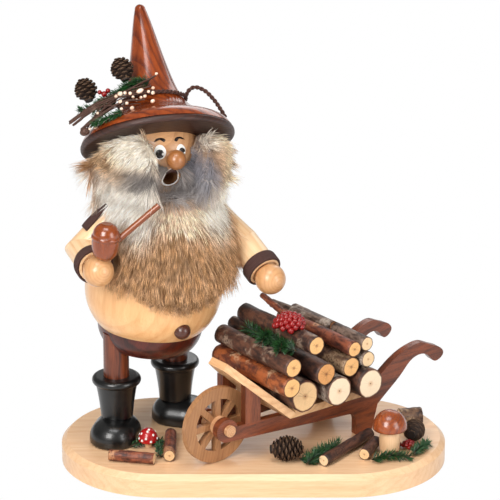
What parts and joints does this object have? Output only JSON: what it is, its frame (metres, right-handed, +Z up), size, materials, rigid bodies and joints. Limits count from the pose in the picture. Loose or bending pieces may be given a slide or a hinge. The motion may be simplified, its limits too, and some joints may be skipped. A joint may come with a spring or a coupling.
{
  "type": "incense smoker figure",
  "caption": "Turned wooden gnome with fur beard and pointed hat, hollow for an incense cone, beside a loaded wheelbarrow on an oval board.",
  "frame": {"origin": "middle of the base board on its underside", "axes": "+Z up; -Y towards the long front side of the board; +X to the right seen from the front, from the gnome towards the barrow handles"},
  "size_m": [0.22, 0.1309, 0.2527],
  "materials": {
    "pale_wood": "satin clear lacquer on pale turned wood",
    "board_wood": "satin clear lacquer on a pale plank",
    "skin_wood": "satin clear lacquer",
    "hat_wood": "gloss orange-brown stain and lacquer",
    "dark_wood": "satin dark brown stain",
    "red_brown_wood": "satin red-brown stain",
    "boot_paint": "black satin paint on wood",
    "brown_bark": "rough natural bark with sawn ends",
    "cone_brown": "matt natural scales",
    "fur": "natural fur",
    "woven_ribbon": "matt woven ribbon",
    "twisted_cord": "twisted cord",
    "fir_green": "matt artificial needles",
    "berry_red": "gloss",
    "bead_cream": "gloss",
    "cap_red": "gloss red lacquer with white dots",
    "cap_brown": "gloss brown lacquer",
    "dish_metal": "plain pressed metal"
  },
  "bodies": {
    "lower": {"base_board": "board_wood", "right_boot_shaft": "boot_paint", "right_boot_foot": "boot_paint", "left_boot_shaft": "boot_paint", "left_boot_foot": "boot_paint", "right_leg": "red_brown_wood", "left_leg": "red_brown_wood", "trousers": "red_brown_wood", "incense_dish": "dish_metal", "near_rail": "red_brown_wood", "far_rail": "red_brown_wood", "front_posts": "red_brown_wood", "bed_board": "board_wood", "front_board": "board_wood", "wheel_axle": "pale_wood", "bottom_logs": "brown_bark", "middle_logs": "brown_bark", "inner_logs": "brown_bark", "top_logs": "brown_bark", "back_logs": "brown_bark", "load_twig": "brown_bark", "load_sprig": "fir_green", "load_berries": "berry_red", "ground_cones": "cone_brown", "ground_logs": "brown_bark", "bark_stump": "brown_bark", "ground_sprigs": "fir_green", "ground_berries": "berry_red", "toadstool_stem": "pale_wood", "toadstool_cap": "cap_red", "mushroom_stem": "pale_wood", "mushroom_cap": "cap_brown"},
    "wheel": {"barrow_wheel": "board_wood", "hub_rings": "red_brown_wood"},
    "upper": {"torso": "pale_wood", "coat_button": "dark_wood", "neck_peg": "pale_wood", "head": "skin_wood", "nose": "skin_wood", "beard": "fur", "hair": "fur", "hat_brim": "dark_wood", "hat_crown": "hat_wood", "hat_cord": "twisted_cord", "hat_cones": "cone_brown", "hat_sprigs": "fir_green", "hat_twigs": "brown_bark", "hat_beads": "bead_cream", "right_upper_sleeve": "pale_wood", "right_forearm_sleeve": "pale_wood", "right_cuff": "woven_ribbon", "right_hand": "skin_wood", "left_upper_sleeve": "pale_wood", "left_forearm_sleeve": "pale_wood", "left_cuff": "woven_ribbon", "left_hand": "skin_wood", "shoulder_braid": "woven_ribbon", "pipe_bowl": "hat_wood", "pipe_stem": "hat_wood"}
  },
  "joints": [
    {"name": "wheel_turn", "type": "hinge", "parent": "lower", "child": "wheel", "pos_m": [-0.02101, -0.03671, 0.0356], "axis": [0.6124, -0.7906, 0], "continuous": true},
    {"name": "lift_off", "type": "slide", "parent": "lower", "child": "upper", "axis": [0.0958, 0, 0.9954], "range_m": [0, 0.065]}
  ]
}
